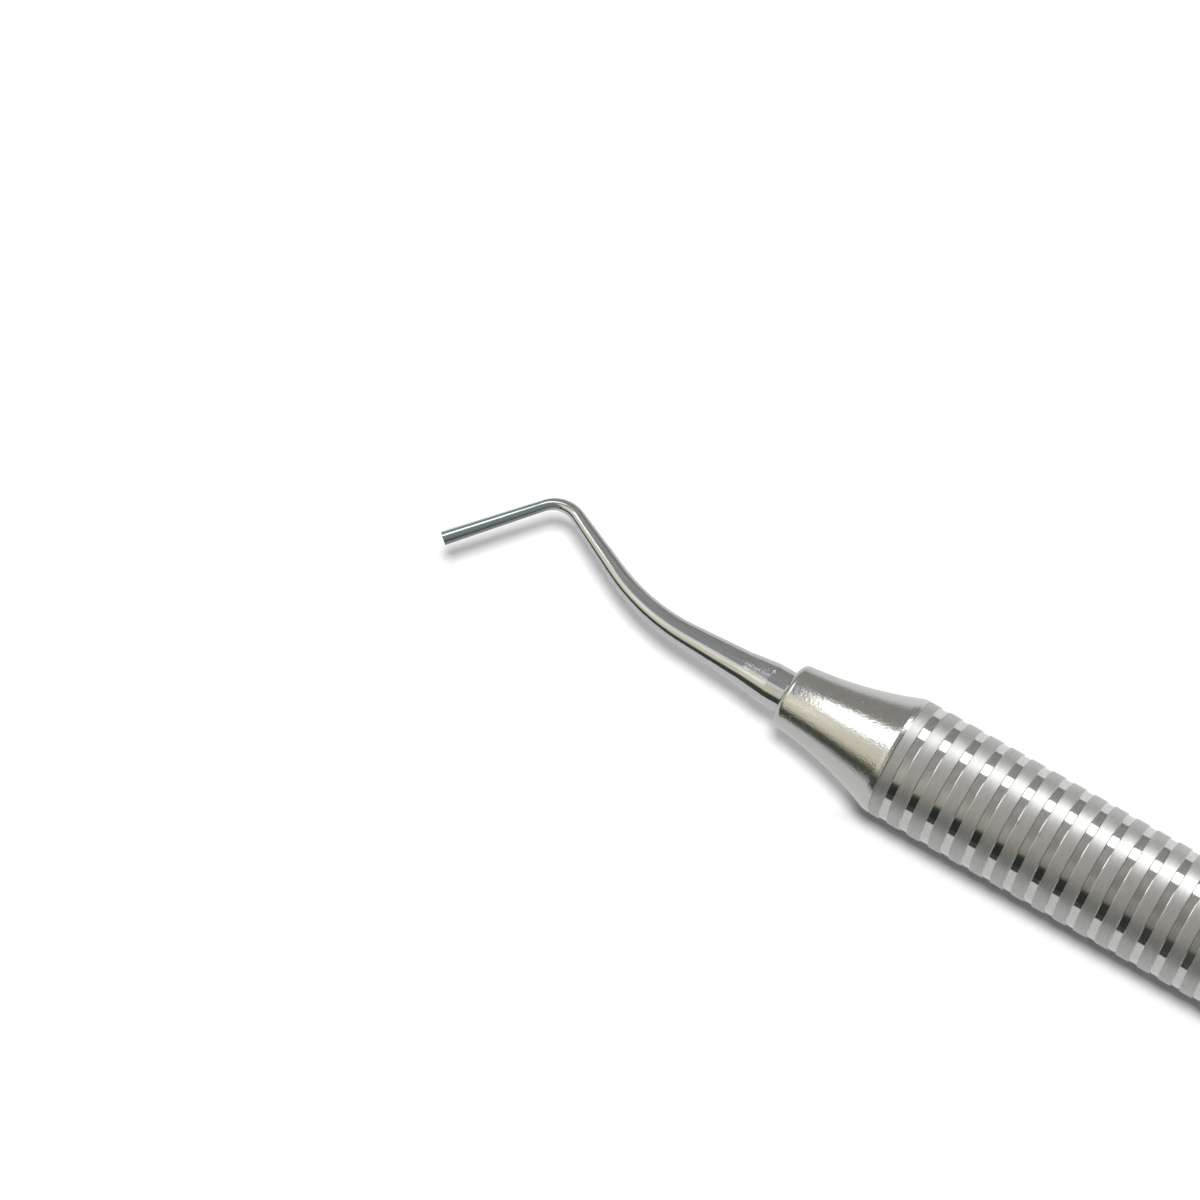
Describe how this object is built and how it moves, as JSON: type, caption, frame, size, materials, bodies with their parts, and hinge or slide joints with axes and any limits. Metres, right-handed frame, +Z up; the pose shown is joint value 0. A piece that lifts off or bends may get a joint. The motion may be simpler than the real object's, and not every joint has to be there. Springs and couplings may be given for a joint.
{
  "type": "amalgam plugger",
  "caption": "Double-ended steel plugger: hollow round handle with grooved grips, flared collars and thin bent working ends with flat nibs.",
  "frame": {"origin": "on the surface that the handle lies on, under the middle of the handle", "axes": "+X along the handle towards the rear working end, +Z up; both working ends are bent in the level plane through the handle's axis"},
  "size_m": [0.1748, 0.0094, 0.0095],
  "materials": {
    "handle_steel": "blasted satin lands between polished grooves",
    "polished_steel": "polished"
  },
  "bodies": {
    "root": {"handle_tube": "handle_steel", "front_collar": "polished_steel", "rear_collar": "polished_steel", "front_working_end": "polished_steel", "rear_working_end": "polished_steel"}
  },
  "joints": []
}
